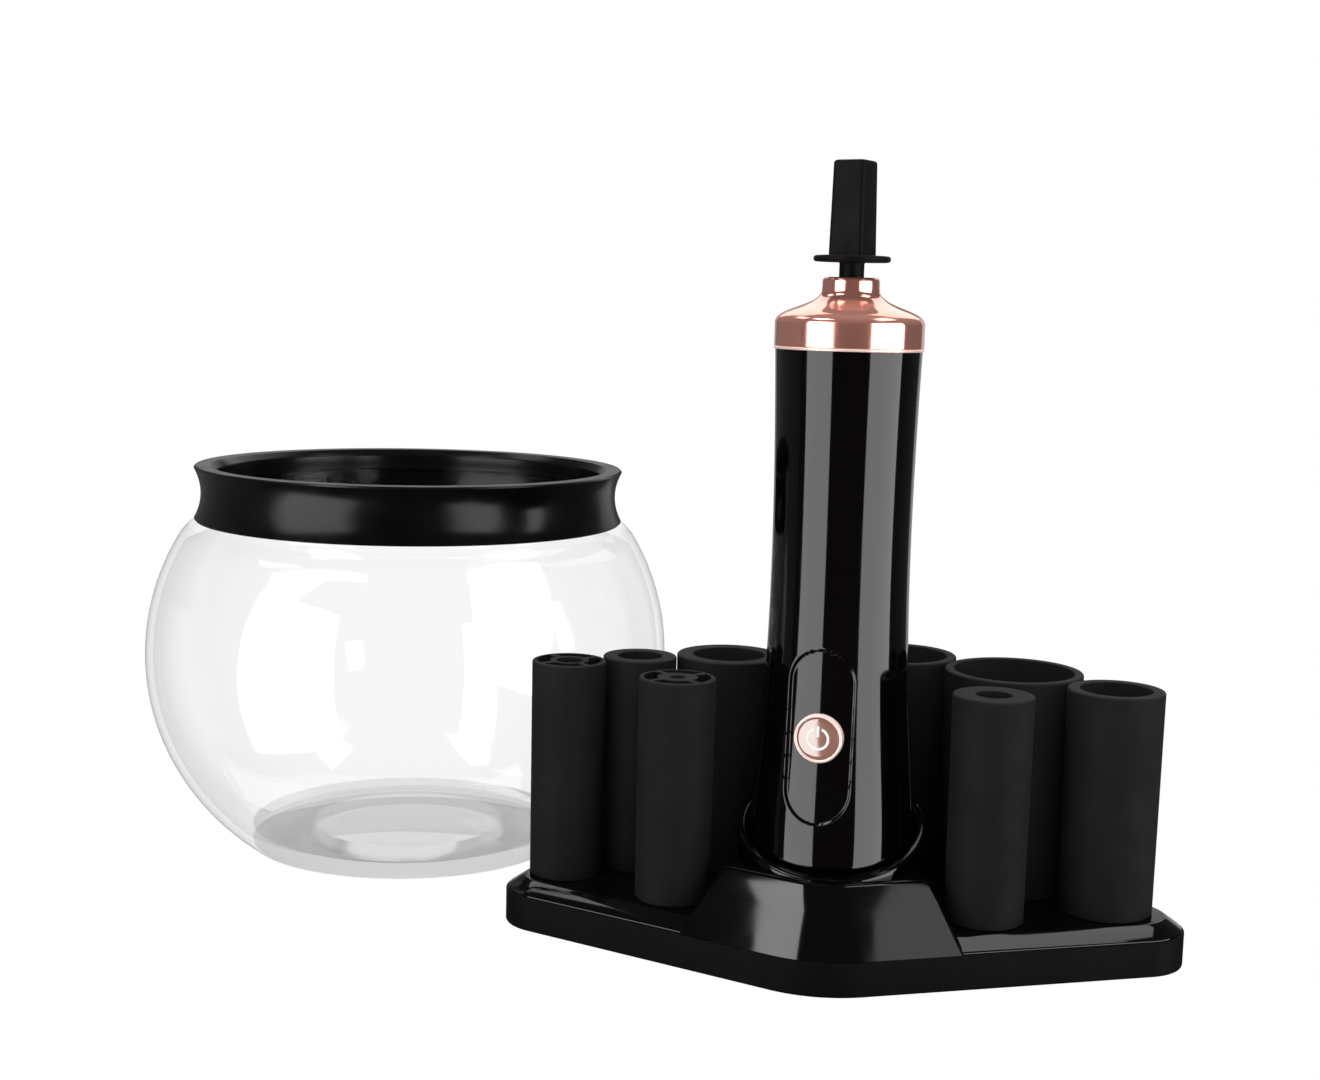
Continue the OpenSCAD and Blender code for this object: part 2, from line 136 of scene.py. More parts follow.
# Studio, in metres
CARD_REACH = 1.3
CEILING_Z = 1.2
DOME_R = 6.0
FLOOR_HALF = 4.0


def box_mm(node):
    """Low and high corner of a CAD node's box, in millimetres."""
    low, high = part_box(node)
    return Vector(low) / MM, Vector(high) / MM


def middle_mm(node):
    """Middle of a CAD node's box seen from above."""
    low, high = box_mm(node)
    return (low.x + high.x) / 2, (low.y + high.y) / 2


def new_object(name, data):
    """An object linked into the scene."""
    obj = bpy.data.objects.new(name, data)
    bpy.context.scene.collection.objects.link(obj)
    return obj


# ---------------------------------------------------------------- outlines and solids


def rounded(corners, closed=True, steps=6):
    """Points of a polygon whose corners (x, y, radius) are rounded."""
    points = []
    count = len(corners)
    for i, (x, y, radius) in enumerate(corners):
        here = Vector((x, y))
        at_end = not closed and i in (0, count - 1)
        if radius <= 0 or at_end:
            points.append((x, y))
            continue
        back = (Vector(corners[i - 1][:2]) - here).normalized()
        ahead = (Vector(corners[(i + 1) % count][:2]) - here).normalized()
        half = math.acos(max(-1, min(1, back.dot(ahead)))) / 2
        start = here + back * (radius / math.tan(half))
        centre = here + (back + ahead).normalized() * (radius / math.sin(half))
        first = start - centre
        sweep = math.pi - 2 * half
        if back.x * ahead.y - back.y * ahead.x > 0:
            sweep = -sweep
        for k in range(steps + 1):
            turn = Matrix.Rotation(sweep * k / steps, 2)
            points.append(tuple(centre + turn @ first))
    return points


def curve(points, t):
    """Point at t on a cubic Bezier curve."""
    weights = ((1 - t) ** 3, 3 * t * (1 - t) ** 2, 3 * t * t * (1 - t), t**3)
    return tuple(sum(w * p[k] for w, p in zip(weights, points)) for k in (0, 1))


def loft(rings):
    """Closed solid through rings of equal length, each a list of 3-D points."""
    size = len(rings[0])
    verts = [p for ring in rings for p in ring]
    first, last = range(size), range((len(rings) - 1) * size, len(rings) * size)
    faces = [tuple(reversed(first)), tuple(last)]
    for i in range(len(rings) - 1):
        for k in range(size):
            m = (k + 1) % size
            faces.append((i * size + k, i * size + m, (i + 1) * size + m, (i + 1) * size + k))
    return verts, faces


def prism(outline, levels):
    """Upright solid of one outline (x, y) between two or more heights."""
    return loft([[(x, y, z) for x, y in outline] for z in levels])


def square(half, radius, steps, centre=(0, 0)):
    """Outline of a square with rounded corners."""
    x, y = centre
    return rounded([(x - half, y - half, radius), (x + half, y - half, radius),
                    (x + half, y + half, radius), (x - half, y + half, radius)], steps=steps)


def lathe(profile, steps, centre=(0, 0), lift=None):
    """Solid of revolution about a vertical axis.

    A profile that starts and ends on the axis is closed by its poles, any other one joins its ends.
    lift(radius, angle, z) may add a height that depends on the place.
    """
    verts, rings, faces = [], [], []
    for radius, z in profile:
        if radius < 1e-6:
            rings.append([len(verts)])
            verts.append((centre[0], centre[1], z))
            continue
        ring = []
        for k in range(steps):
            angle = 2 * math.pi * k / steps
            extra = lift(radius, angle, z) if lift else 0
            ring.append(len(verts))
            x, y = radius * math.cos(angle), radius * math.sin(angle)
            verts.append((centre[0] + x, centre[1] + y, z + extra))
        rings.append(ring)
    pairs = list(zip(rings, rings[1:]))
    if len(rings[0]) > 1:
        pairs.append((rings[-1], rings[0]))
    for a, b in pairs:
        for k in range(steps):
            m = (k + 1) % steps
            if len(a) == 1 and len(b) == 1:
                continue
            if len(a) == 1:
                faces.append((a[0], b[m], b[k]))
            elif len(b) == 1:
                faces.append((a[k], a[m], b[0]))
            else:
                faces.append((a[k], a[m], b[m], b[k]))
    return verts, faces


def bar(radius, z0, z1, steps, centre=(0, 0)):
    """Upright round bar."""
    return lathe([(0, z0), (radius, z0), (radius, z1), (0, z1)], steps, centre)


def merge(*shapes):
    """One shape of several."""
    verts, faces = [], []
    for v, f in shapes:
        base = len(verts)
        verts += v
        faces += [tuple(i + base for i in face) for face in f]
    return verts, faces


def placed(shape, matrix):
    """A shape moved by a matrix."""
    return [tuple(matrix @ Vector(v)) for v in shape[0]], shape[1]


def make(name, shape):
    """A mesh object in metres, with its faces turned outwards."""
    mesh = bpy.data.meshes.new(name)
    mesh.from_pydata([Vector(v) * MM for v in shape[0]], [], shape[1])
    bm = bmesh.new()
    bm.from_mesh(mesh)
    bmesh.ops.remove_doubles(bm, verts=bm.verts, dist=1e-8)
    bmesh.ops.recalc_face_normals(bm, faces=bm.faces)
    bm.to_mesh(mesh)
    bm.free()
    return new_object(name, mesh)


def combine(obj, shape, operation="DIFFERENCE"):
    """Cuts a shape from an object, or adds it, and keeps the result as the object's mesh."""
    tool = make("tool", shape)
    change = obj.modifiers.new("combine", "BOOLEAN")
    change.operation = operation
    change.solver = "EXACT"
    change.object = tool
    graph = bpy.context.evaluated_depsgraph_get()
    mesh = bpy.data.meshes.new_from_object(obj.evaluated_get(graph))
    obj.modifiers.clear()
    obj.data = mesh
    bpy.data.objects.remove(tool)


def dress(obj, body, material, nodes, crease=32):
    """Shading, material, body and the CAD nodes that the piece stands for."""
    obj.data.materials.clear()
    obj.data.materials.append(material)
    for face in obj.data.polygons:
        face.use_smooth = True
    obj.data.set_sharp_from_angle(angle=math.radians(crease))
    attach(obj, body)
    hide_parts(*nodes)
    return obj


# ---------------------------------------------------------------- materials


def shader(name, color, roughness, metallic=0.0, **sockets):
    """Material with one Principled surface; further sockets go by their names."""
    material = bpy.data.materials.new(name)
    material.use_nodes = True
    surface = material.node_tree.nodes["Principled BSDF"]
    surface.inputs["Base Color"].default_value = (*color, 1)
    surface.inputs["Roughness"].default_value = roughness
    surface.inputs["Metallic"].default_value = metallic
    for key, value in sockets.items():
        surface.inputs[key.replace("_", " ")].default_value = value
    return material


def grain(material, scale, detail=3.0, stretch=(1, 1, 1)):
    """Noise in the object's own coordinates; returns its output."""
    nodes, links = material.node_tree.nodes, material.node_tree.links
    place = nodes.new("ShaderNodeTexCoord")
    mapping = nodes.new("ShaderNodeMapping")
    mapping.inputs["Scale"].default_value = stretch
    noise = nodes.new("ShaderNodeTexNoise")
    noise.inputs["Scale"].default_value = scale
    noise.inputs["Detail"].default_value = detail
    links.new(place.outputs["Object"], mapping.inputs["Vector"])
    links.new(mapping.outputs["Vector"], noise.inputs["Vector"])
    return noise.outputs["Fac"]


def spread(material, source, low, high, socket):
    """Maps a noise from its middle range to low..high and feeds a surface socket."""
    nodes, links = material.node_tree.nodes, material.node_tree.links
    ranged = nodes.new("ShaderNodeMapRange")
    ranged.inputs["From Min"].default_value = 0.3
    ranged.inputs["From Max"].default_value = 0.7
    ranged.inputs["To Min"].default_value = low
    ranged.inputs["To Max"].default_value = high
    links.new(source, ranged.inputs["Value"])
    links.new(ranged.outputs["Result"], nodes["Principled BSDF"].inputs[socket])


def tint(material, source, dark, light):
    """Colour that drifts between two tones."""
    nodes, links = material.node_tree.nodes, material.node_tree.links
    ramp = nodes.new("ShaderNodeValToRGB")
    ramp.color_ramp.elements[0].position = 0.3
    ramp.color_ramp.elements[1].position = 0.7
    ramp.color_ramp.elements[0].color = (*dark, 1)
    ramp.color_ramp.elements[1].color = (*light, 1)
    links.new(source, ramp.inputs["Fac"])
    links.new(ramp.outputs["Color"], nodes["Principled BSDF"].inputs["Base Color"])


def relief(material, source, depth_mm, strength):
    """Bump of the fine surface."""
    nodes, links = material.node_tree.nodes, material.node_tree.links
    bump = nodes.new("ShaderNodeBump")
    bump.inputs["Strength"].default_value = strength
    bump.inputs["Distance"].default_value = depth_mm * MM
    links.new(source, bump.inputs["Height"])
    links.new(bump.outputs["Normal"], nodes["Principled BSDF"].inputs["Normal"])


def gloss_black():
    m = shader("gloss_black", (0.0007, 0.0007, 0.0008), 0.06, IOR=1.4)
    spread(m, grain(m, 90, 4), 0.04, 0.08, "Roughness")
    tint(m, grain(m, 40), (0.0006, 0.0006, 0.0007), (0.0009, 0.0009, 0.001))
    relief(m, grain(m, 160, 1), 0.003, 0.3)
    return m


def ring_black():
    m = shader("ring_black", (0.0015, 0.0015, 0.0016), 0.22, IOR=1.27)
    spread(m, grain(m, 110, 4), 0.18, 0.26, "Roughness")
    tint(m, grain(m, 40), (0.0012, 0.0012, 0.0013), (0.002, 0.002, 0.0021))
    relief(m, grain(m, 300, 2), 0.004, 0.3)
    return m


def tub_black():
    m = shader("tub_black", (0.0034, 0.0034, 0.0035), 0.5, IOR=1.08)
    spread(m, grain(m, 300), 0.45, 0.56, "Roughness")
    tint(m, grain(m, 60), (0.003, 0.003, 0.0031), (0.0038, 0.0038, 0.0039))
    relief(m, grain(m, 2600, 2), 0.03, 0.3)
    return m


def collar_rubber():
    m = shader("collar_rubber", (0.0105, 0.0105, 0.0106), 0.6, IOR=1.1)
    spread(m, grain(m, 120, 4), 0.54, 0.68, "Roughness")
    tint(m, grain(m, 55, 5), (0.0095, 0.0095, 0.0096), (0.0118, 0.0118, 0.0119))
    relief(m, grain(m, 1900, 4), 0.04, 0.3)
    return m


def adapter_black():
    m = shader("adapter_black", (0.0045, 0.0045, 0.0046), 0.46, IOR=1.12)
    spread(m, grain(m, 160), 0.4, 0.52, "Roughness")
    tint(m, grain(m, 90), (0.004, 0.004, 0.0041), (0.0052, 0.0052, 0.0053))
    relief(m, grain(m, 1500), 0.02, 0.25)
    return m


def rose_gold():
    m = shader("rose_gold", (0.93, 0.43, 0.345), 0.12, 0.85)
    spread(m, grain(m, 120, 4, (1, 1, 0.2)), 0.09, 0.15, "Roughness")
    tint(m, grain(m, 60), (0.91, 0.42, 0.335), (0.94, 0.445, 0.36))
    relief(m, grain(m, 700, 2, (1, 1, 0.05)), 0.002, 0.25)
    return m


def button_rose():
    """Lacquered rose-gold paint of the button's face."""
    m = shader("button_rose", (0.31, 0.15, 0.105), 0.1, IOR=2.1)
    spread(m, grain(m, 150, 3), 0.08, 0.13, "Roughness")
    tint(m, grain(m, 500, 4), (0.29, 0.135, 0.095), (0.33, 0.16, 0.115))
    relief(m, grain(m, 900, 2), 0.002, 0.2)
    return m


def pale_rose():
    m = shader("pale_rose", (0.82, 0.6, 0.54), 0.3, 0.25)
    spread(m, grain(m, 150), 0.26, 0.34, "Roughness")
    tint(m, grain(m, 80), (0.8, 0.58, 0.52), (0.85, 0.63, 0.57))
    return m


def clear_bowl():
    """Thin clear wall: it mirrors more towards its outline, with a painted dark line along the
    outline, and its thick floor carries painted grey shade.
    """
    m = shader("clear_bowl", (0.9, 0.9, 0.9), 0.02, 1.0)
    nodes, links = m.node_tree.nodes, m.node_tree.links
    surface = nodes["Principled BSDF"]

    def step(operation, a, b, c=0.0):
        node = nodes.new("ShaderNodeMath")
        node.operation = operation
        for socket, value in zip(node.inputs, (a, b, c)):
            if isinstance(value, float):
                socket.default_value = value
            else:
                links.new(value, socket)
        return node.outputs["Value"]

    def vector(operation, source, other=None):
        node = nodes.new("ShaderNodeVectorMath")
        node.operation = operation
        links.new(source, node.inputs[0])
        if other:
            node.inputs[1].default_value = other
        return node.outputs["Value" if operation == "LENGTH" else "Vector"]

    def between(source, start, stop, first, last):
        node = nodes.new("ShaderNodeMapRange")
        values = {"From Min": start, "From Max": stop, "To Min": first, "To Max": last}
        for key, value in values.items():
            node.inputs[key].default_value = value
        links.new(source, node.inputs["Value"])
        return node.outputs["Result"]

    place = nodes.new("ShaderNodeTexCoord").outputs["Object"]
    split = nodes.new("ShaderNodeSeparateXYZ")
    links.new(place, split.inputs["Vector"])
    height = split.outputs["Z"]
    edge = nodes.new("ShaderNodeLayerWeight")
    edge.inputs["Blend"].default_value = 0.5
    facing = edge.outputs["Facing"]
    x, y = middle_mm("bowl")
    centred = vector("SUBTRACT", place, (x * MM, y * MM, BOWL_MID_Z * MM))
    radius = vector("LENGTH", vector("MULTIPLY", centred, (1, 1, 0)))
    wide, tall = 1 / (BOWL_R * MM), 1 / (BOWL_UP * MM)
    unit = vector("LENGTH", vector("MULTIPLY", centred, (wide, wide, tall)))

    # Only the outer face draws the outline: 1 there, 0 on the inner face. The outline is a painted
    # dark line: the outer face turns nearly opaque at the silhouette and mirrors the dim surroundings
    # there
    outer = between(unit, 0.978, 0.99, 0.0, 1.0)
    clear, rise, outline = 0.02, 0.13, 0.6
    soft = step("MULTIPLY_ADD", step("POWER", facing, 2.0), rise, clear)
    # painted dark line along the silhouette, stronger than the mirroring above
    line = step("MULTIPLY", step("POWER", facing, 12.0), step("MULTIPLY", outer, outline))
    wall = step("ADD", soft, line)

    # The thick floor carries painted grey shade: it is more solid and darker in tone, less so in its
    # raised middle; the wall inside the ring is clear
    floor = between(radius, 48.6 * MM, 47.8 * MM, 0.0, 1.0)
    floor_shade_opacity = between(radius, 28.5 * MM, 30.5 * MM, 0.24, 0.4)
    solid = step("MAXIMUM", wall, step("MULTIPLY", floor, floor_shade_opacity))
    neck = between(height, 98.5 * MM, 100 * MM, 1.0, 0.0)
    # painted grey shade of the floor: its mirror tone is darker than the wall's
    wall_tone, floor_shade_tone = 0.9, 0.4
    links.new(step("MULTIPLY", solid, neck), surface.inputs["Alpha"])
    links.new(between(floor, 0.0, 1.0, wall_tone, floor_shade_tone), surface.inputs["Base Color"])
    spread(m, grain(m, 12, 2), 0.01, 0.05, "Roughness")
    relief(m, grain(m, 14, 1), 0.03, 0.2)
    return m


def plain(name, color, roughness, metallic=0.0, fine=400, depth=0.01, change=0.12):
    """Material for inner pieces: a base tone with drift, uneven gloss and a fine surface."""
    m = shader(name, color, roughness, metallic)
    dark = tuple(c * (1 - change) for c in color)
    light = tuple(min(1, c * (1 + change)) for c in color)
    tint(m, grain(m, 80, 4), dark, light)
    spread(m, grain(m, 200, 4), roughness * 0.85, min(1, roughness * 1.2), "Roughness")
    relief(m, grain(m, fine, 3), depth, 0.4)
    return m


def board_green():
    """Solder mask with copper tracks under it."""
    m = shader("board_green", (0.02, 0.13, 0.05), 0.35)
    nodes, links = m.node_tree.nodes, m.node_tree.links
    place = nodes.new("ShaderNodeTexCoord")
    tracks = nodes.new("ShaderNodeTexBrick")
    tracks.inputs["Scale"].default_value = 260
    tracks.inputs["Mortar Size"].default_value = 0.03
    tracks.inputs["Color1"].default_value = (0.015, 0.11, 0.04, 1)
    tracks.inputs["Color2"].default_value = (0.02, 0.14, 0.055, 1)
    tracks.inputs["Mortar"].default_value = (0.05, 0.24, 0.09, 1)
    links.new(place.outputs["Object"], tracks.inputs["Vector"])
    links.new(tracks.outputs["Color"], nodes["Principled BSDF"].inputs["Base Color"])
    spread(m, grain(m, 300), 0.3, 0.45, "Roughness")
    return m


MATERIALS = {
    "gloss_black": gloss_black(),
    "ring_black": ring_black(),
    "button_rose": button_rose(),
    "tub_black": tub_black(),
    "collar_rubber": collar_rubber(),
    "adapter_black": adapter_black(),
    "rose_gold": rose_gold(),
    "pale_rose": pale_rose(),
    "clear_bowl": clear_bowl(),
    "board_green": board_green(),
    "foot_rubber": plain("foot_rubber", (0.02, 0.02, 0.02), 0.7, depth=0.04),
    "seal_rubber": plain("seal_rubber", (0.03, 0.03, 0.03), 0.6, depth=0.03),
    "steel": plain("steel", (0.62, 0.62, 0.63), 0.28, 1.0, fine=900),
    "inner_black": plain("inner_black", (0.03, 0.03, 0.031), 0.5, depth=0.03),
    "contact_gold": plain("contact_gold", (0.9, 0.66, 0.26), 0.2, 1.0, fine=700),
    "cell_blue": plain("cell_blue", (0.03, 0.12, 0.36), 0.25, fine=250),
    "white_plastic": plain("white_plastic", (0.85, 0.85, 0.84), 0.4, change=0.04),
    "magnet_grey": plain("magnet_grey", (0.1, 0.1, 0.105), 0.6, 0.4, depth=0.05),
    "bush_brass": plain("bush_brass", (0.72, 0.5, 0.2), 0.35, 1.0),
    "winding_copper": plain("winding_copper", (0.7, 0.32, 0.16), 0.3, 1.0, fine=1600, depth=0.06),
    "lead_red": plain("lead_red", (0.5, 0.03, 0.02), 0.4),
}

# ---------------------------------------------------------------- stand


def tangent(a, b):
    """Direction of the outward normal of the line that touches two corner circles."""
    gap = Vector(b[:2]) - Vector(a[:2])
    along = gap.normalized()
    share = (a[2] - b[2]) / gap.length
    side = Vector((along.y, -along.x))
    normal = along * share + side * math.sqrt(1 - share * share)
    return math.atan2(normal.y, normal.x)


def hull_ring(corners, inset, z, steps=14):
    """Outline round a convex row of corner circles, drawn in by an inset."""
    ring = []
    for i, corner in enumerate(corners):
        start = tangent(corners[i - 1], corner)
        stop = tangent(corner, corners[(i + 1) % len(corners)])
        sweep = (stop - start) % (2 * math.pi)
        reach = corner[2] - inset
        for k in range(steps + 1):
            angle = start + sweep * k / steps
            x, y = reach * math.cos(angle), reach * math.sin(angle)
            ring.append((corner[0] + x, corner[1] + y, z))
    return ring


def slab(profile):
    """Solid with the stand's outline; its side line is a row of inset, height, radius."""
    side = rounded(profile, closed=False, steps=4)
    return loft([hull_ring(CORNERS, inset, z) for inset, z in side])


def stand_tub():
    """Open tub below the seam, with screw bosses, seats for the feet and a slot for the inlet."""
    low = box_mm("stand_tub")[0].z
    floor = low + 2
    tub = make("tub", slab([
        (4, low, 0), (0, low, 0.5), (0, SEAM_Z, 0.25), (TUB_WALL, SEAM_Z, 0.25),
        (TUB_WALL, floor, 0), (TUB_WALL + 1, floor, 0),
    ]))
    bosses = [bar(BOSS_R, low + 1, 7.5, 32, s) for s in SCREWS]
    combine(tub, merge(*bosses), "UNION")
    cuts = [bar(SCREW_HEAD_R, 0, 4, 32, s) for s in SCREWS]
    cuts += [bar(SCREW_R, 3, 8, 24, s) for s in SCREWS]
    cuts += [bar(FOOT_R, -1, FOOT_H, 64, f) for f in FEET]
    slot = rounded([
        (-INLET_HALF_W, INLET_LOW, 1.4), (INLET_HALF_W, INLET_LOW, 1.4),
        (INLET_HALF_W, INLET_HIGH, 1.4), (-INLET_HALF_W, INLET_HIGH, 1.4),
    ])
    cuts.append(loft([[(x, y, z) for x, z in slot] for y in (55, 65)]))
    combine(tub, merge(*cuts))
    dress(tub, "stand", MATERIALS["tub_black"], ["stand_tub"])


def pedestal():
    """The raised front, which leans back from the seam to the dock's floor."""
    foot = [(0, -12.3, 30), (34.6, -28.7, 1.5), (24, -7, 1.5), (-24, -7, 1.5), (-34.6, -28.7, 1.5)]
    head = [(0, -12.3, 15), (25, -16.5, 1.5), (20, -7, 1.5), (-20, -7, 1.5), (-25, -16.5, 1.5)]
    top = SEAT_Z + 0.1
    edge = 0.7
    levels = [(0, z) for z in (SEAM_Z + 0.06, 14, 19, top - edge)]
    levels += [(0.9 * edge * (1 - math.cos(a)), top - edge + edge * math.sin(a))
               for a in [math.radians(22.5 * k) for k in range(1, 5)]]
    rings = []
    for inset, z in levels:
        share = (z - SEAM_Z) / (top - SEAM_Z)
        corners = [tuple(a + (b - a) * share for a, b in zip(p, q)) for p, q in zip(foot, head)]
        rings.append(hull_ring(corners, inset, z, 18))
    return loft(rings)


def cup():
    """Dock cup with a slanted, rounded rim."""
    def lift(radius, angle, z):
        return RIM_RISE * radius * math.sin(angle) if z > SEAT_Z + 1 else 0

    inner = CUP_FOOT_R + (RIM_Z - SEAT_Z) * CUP_FLARE
    profile = rounded([
        (0, DECK_Z - 1, 0), (CUP_R, DECK_Z - 1, 0), (CUP_R, RIM_Z, 0.9), (inner, RIM_Z, 0.8),
        (CUP_FOOT_R, SEAT_Z, 0.4), (0, SEAT_Z, 0),
    ], closed=False, steps=5)
    return lathe(profile, 192, lift=lift)


def peg(centre):
    """Square peg that a collar stands over, with a chamfered top."""
    top = DECK_Z + PEG_H
    rings = []
    for inset, z in ((0, DECK_Z - 1), (0, top - 1), (0.25, top - 0.4), (0.9, top)):
        rings.append([(x, y, z) for x, y in square(PEG_W / 2 - inset, 0.7, 4, centre)])
    return loft(rings)


def stand_cover():
    """Cover above the seam, with the raised front, the dock's cup and the collars' pegs."""
    cover = make("cover", slab([
        (CHAMFER + 1, DECK_Z - 2, 0), (CHAMFER, DECK_Z - 2, 0), (CHAMFER, SEAM_Z, 0),
        (0, SEAM_Z, 0.3), (CHAMFER, DECK_Z, 1.2), (CHAMFER + 3, DECK_Z, 0),
    ]))
    combine(cover, pedestal(), "UNION")
    combine(cover, bar(CUP_R - 1, 10.5, 60, 96))
    combine(cover, cup(), "UNION")
    pegs = [peg(middle_mm("collar_%d" % (i + 1))) for i in range(len(BORES))]
    combine(cover, merge(*pegs), "UNION")
    turned = Matrix.Rotation(TURN, 4, "Z")
    holes = [bar(PIN_HOLE_R, 18, 30, 32, (x, 0)) for x in (-PIN_X, PIN_X)]
    combine(cover, placed(merge(*holes), turned))
    dress(cover, "stand", MATERIALS["gloss_black"], ["stand_cover"], 24)


def collar(i):
    """Rubber collar: drafted wall, round bore, square socket and, on two of them, webs."""
    node = "collar_%d" % (i + 1)
    low, high = box_mm(node)
    centre = middle_mm(node)
    top_r = (high.x - low.x) / 2
    foot_r = top_r * DRAFT
    bore, webbed = BORES[i]
    top = high.z
    profile = rounded([
        (0, low.z, 0), (foot_r, low.z, 0.5), (top_r, top, 0.55), (bore, top, 0.35),
        (bore, top - BORE_DEPTH, 0), (0, top - BORE_DEPTH, 0),
    ], closed=False, steps=4)
    sleeve = make(node.replace("_", "-"), lathe(profile, 128, centre))
    cuts = [prism(square(SOCKET_W / 2, 0.6, 3, centre), (low.z - 1, low.z + SOCKET_DEPTH))]
    if webbed:
        reach = top_r - SLEEVE_WALL
        cuts += [window(centre, math.radians(90 * k), reach, top) for k in range(4)]
    combine(sleeve, merge(*cuts))
    dress(sleeve, node, MATERIALS["collar_rubber"], [node], 35)


def window(centre, middle, reach, top):
    """One of four arched pockets between a webbed collar's hub and its wall."""
    points, steps = [], 12
    for radius, order in ((HUB_R, 1), (reach, -1)):
        span = math.pi / 4 - math.asin(WEB_W / 2 / radius)
        for k in range(steps + 1):
            angle = middle - order * span + order * 2 * span * k / steps
            x, y = radius * math.cos(angle), radius * math.sin(angle)
            points.append((centre[0] + x, centre[1] + y))
    return prism(points, (top - WINDOW_DEPTH, top + 1))


# ---------------------------------------------------------------- handle


def recess(x, z):
    """How deep the stadium-shaped recess is at a place on the shell, in millimetres."""
    straight = (RECESS_H - RECESS_W) / 2
    past = max(abs(z - BUTTON_Z - 0.15) - straight, 0)
    outside = math.hypot(past, x) - RECESS_W / 2
    share = max(0, min(1, (RECESS_SOFT - outside) / (2 * RECESS_SOFT)))
    return RECESS_DEPTH * share * share * (3 - 2 * share)


def shell_angles():
    """Angles round the shell, close together near the button."""
    front = math.radians(-90) + TURN
    near, fine, rest = math.radians(32), 110, 84
    angles = [front - near + 2 * near * k / fine for k in range(fine + 1)]
    wide = 2 * math.pi - 2 * near
    angles += [front + near + wide * k / rest for k in range(1, rest)]
    return angles, front


def shell_profile():
    """Foot, outer side line and inner line of the shell, up the outside and down the inside."""
    foot = [(18.0, 24.9), (19.4, 24.9)]
    for k in range(1, 10):
        angle = math.radians(-90 + 9 * k)
        foot.append((20.2 + 1.2 * math.cos(angle), 27.5 + 2.6 * math.sin(angle)))
    side = [curve(WAIST, k / 220) for k in range(221)]
    top = side[-1][1]
    lip = [(side[-1][0] - 0.15, top), (SKIRT_R, top), (SKIRT_R, 146)]
    inside = [(r - SHELL_WALL, z) for r, z in [curve(WAIST, k / 20) for k in range(19, 1, -1)]]
    return foot, side, lip + inside + [(18, 31)]


def handle_shell():
    """Waisted shell with the recess pressed into its front and a hole for the button."""
    angles, front = shell_angles()
    foot, side, inner = shell_profile()
    outer = set(range(len(foot), len(foot) + len(side)))
    profile = foot + side + inner
    verts, faces = [], []
    for i, (radius, z) in enumerate(profile):
        for angle in angles:
            r = radius
            facing = math.cos(angle - front)
            if i in outer and facing > 0.5:
                r -= recess(radius * math.sin(angle - front), z)
            verts.append((r * math.cos(angle), r * math.sin(angle), z))
    count = len(angles)
    for i in range(len(profile)):
        j = (i + 1) % len(profile)
        for k in range(count):
            m = (k + 1) % count
            faces.append((i * count + k, i * count + m, j * count + m, j * count + k))
    shell = make("shell", (verts, faces))
    combine(shell, placed(bar(BUTTON_HOLE_R, 10, 25, 96), button_place()))
    dress(shell, "handle", MATERIALS["gloss_black"], ["handle_shell"], 40)


def button_place():
    """Puts +Z of a shape along the button's axis, pointing out of the handle, and +Y upwards."""
    outward = Vector((math.sin(TURN), -math.cos(TURN), 0))
    up = Vector((0, 0, 1))
    right = up.cross(outward)
    return Matrix((
        (right.x, up.x, outward.x, 0),
        (right.y, up.y, outward.y, 0),
        (right.z, up.z, outward.z, BUTTON_Z),
        (0, 0, 0, 1),
    ))


def button():
    """Domed button with its stem and flange, and the rim round it, both on the button's axis."""
    crown, edge = 20.0, 19.7
    face = [(5.0 * k / 8, crown - (crown - edge) * (k / 8) ** 2) for k in range(9)]
    profile = face + [(5.22, 19.6), (5.33, 19.45), (5.35, 19.2)]
    profile += [(5.35, 18.1), (5.85, 18.1), (5.85, 17.4), (1.5, 17.4), (1.5, 12.9), (0, 12.9)]
    cap = make("button", placed(lathe(profile, 128), button_place()))
    dress(cap, "button", MATERIALS["button_rose"], ["button_cap"])
    profile = rounded([
        (6.3, 15.3, 0), (6.3, 20.1, 0.42), (5.45, 20.1, 0.42), (5.45, 18.2, 0),
        (6.0, 18.2, 0), (6.0, 14.3, 0), (7.3, 14.3, 0.2), (7.3, 15.3, 0.2),
    ])
    rim = make("button-bezel", placed(lathe(profile, 128), button_place()))
    dress(rim, "handle", MATERIALS["pale_rose"], ["button_bezel"])


def power_icon():
    """Open ring and bar, inlaid in the button's face."""
    gap, steps = math.radians(20), 48
    start, sweep = math.radians(90) + gap, 2 * math.pi - 2 * gap
    arc = [start + sweep * k / steps for k in range(steps + 1)]
    ring = [(MARK_R * math.cos(a), MARK_R * math.sin(a)) for a in arc]
    ring += [(MARK_INNER_R * math.cos(a), MARK_INNER_R * math.sin(a)) for a in reversed(arc)]
    stem = rounded([(-0.34, 0.5, 0.2), (0.34, 0.5, 0.2), (0.34, 3.35, 0.2), (-0.34, 3.35, 0.2)])
    shapes = [prism(outline, (19.4, 20.02)) for outline in (ring, stem)]
    icon = make("power-mark", placed(merge(*shapes), button_place()))
    dress(icon, "button", MATERIALS["white_plastic"], ["power_icon"])


